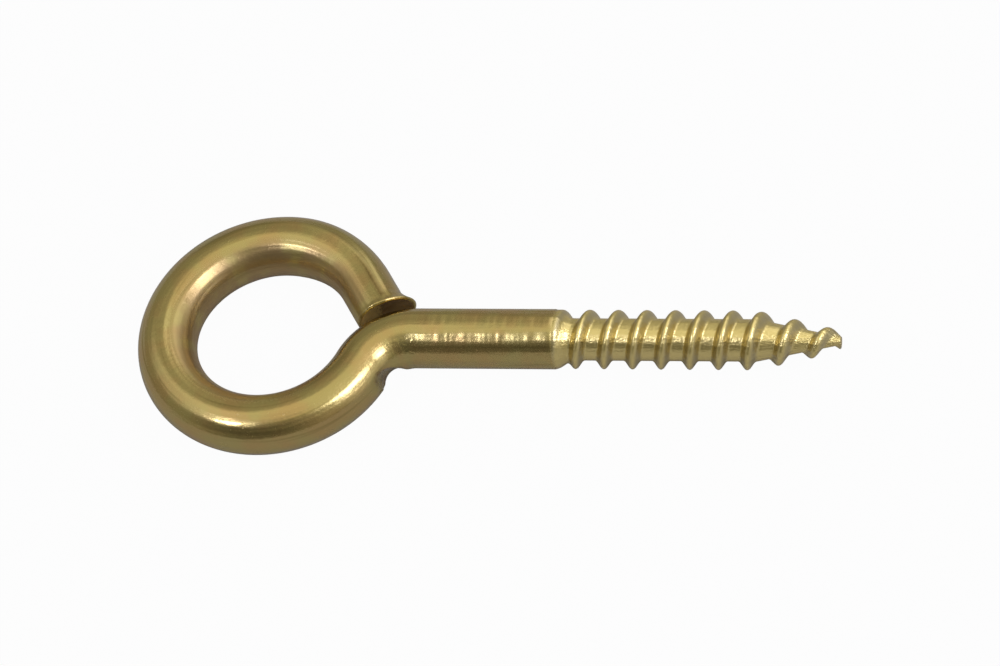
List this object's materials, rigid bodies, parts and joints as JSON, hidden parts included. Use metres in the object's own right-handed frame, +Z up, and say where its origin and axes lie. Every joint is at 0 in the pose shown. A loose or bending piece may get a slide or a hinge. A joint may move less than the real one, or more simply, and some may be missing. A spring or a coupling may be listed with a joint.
{
  "type": "screw eye",
  "caption": "Closed-bend screw eye: round wire bent into a ring at one end, with a rolled wood-screw thread and a gimlet point at the other.",
  "frame": {"origin": "on the shank's axis, where the bend of the neck ends and the plain shank begins", "axes": "+X along the shank towards the point, +Y in the eye's plane on the side where the free end lies, +Z up and square to the eye's plane; the part lies on its side, as it comes to rest"},
  "size_m": [0.0717, 0.0275, 0.006],
  "materials": {
    "screw_eye": "brass-plated wire, softly polished, with fine pits and scuffs"
  },
  "bodies": {
    "root": {"screw_eye": "screw_eye"}
  },
  "joints": []
}
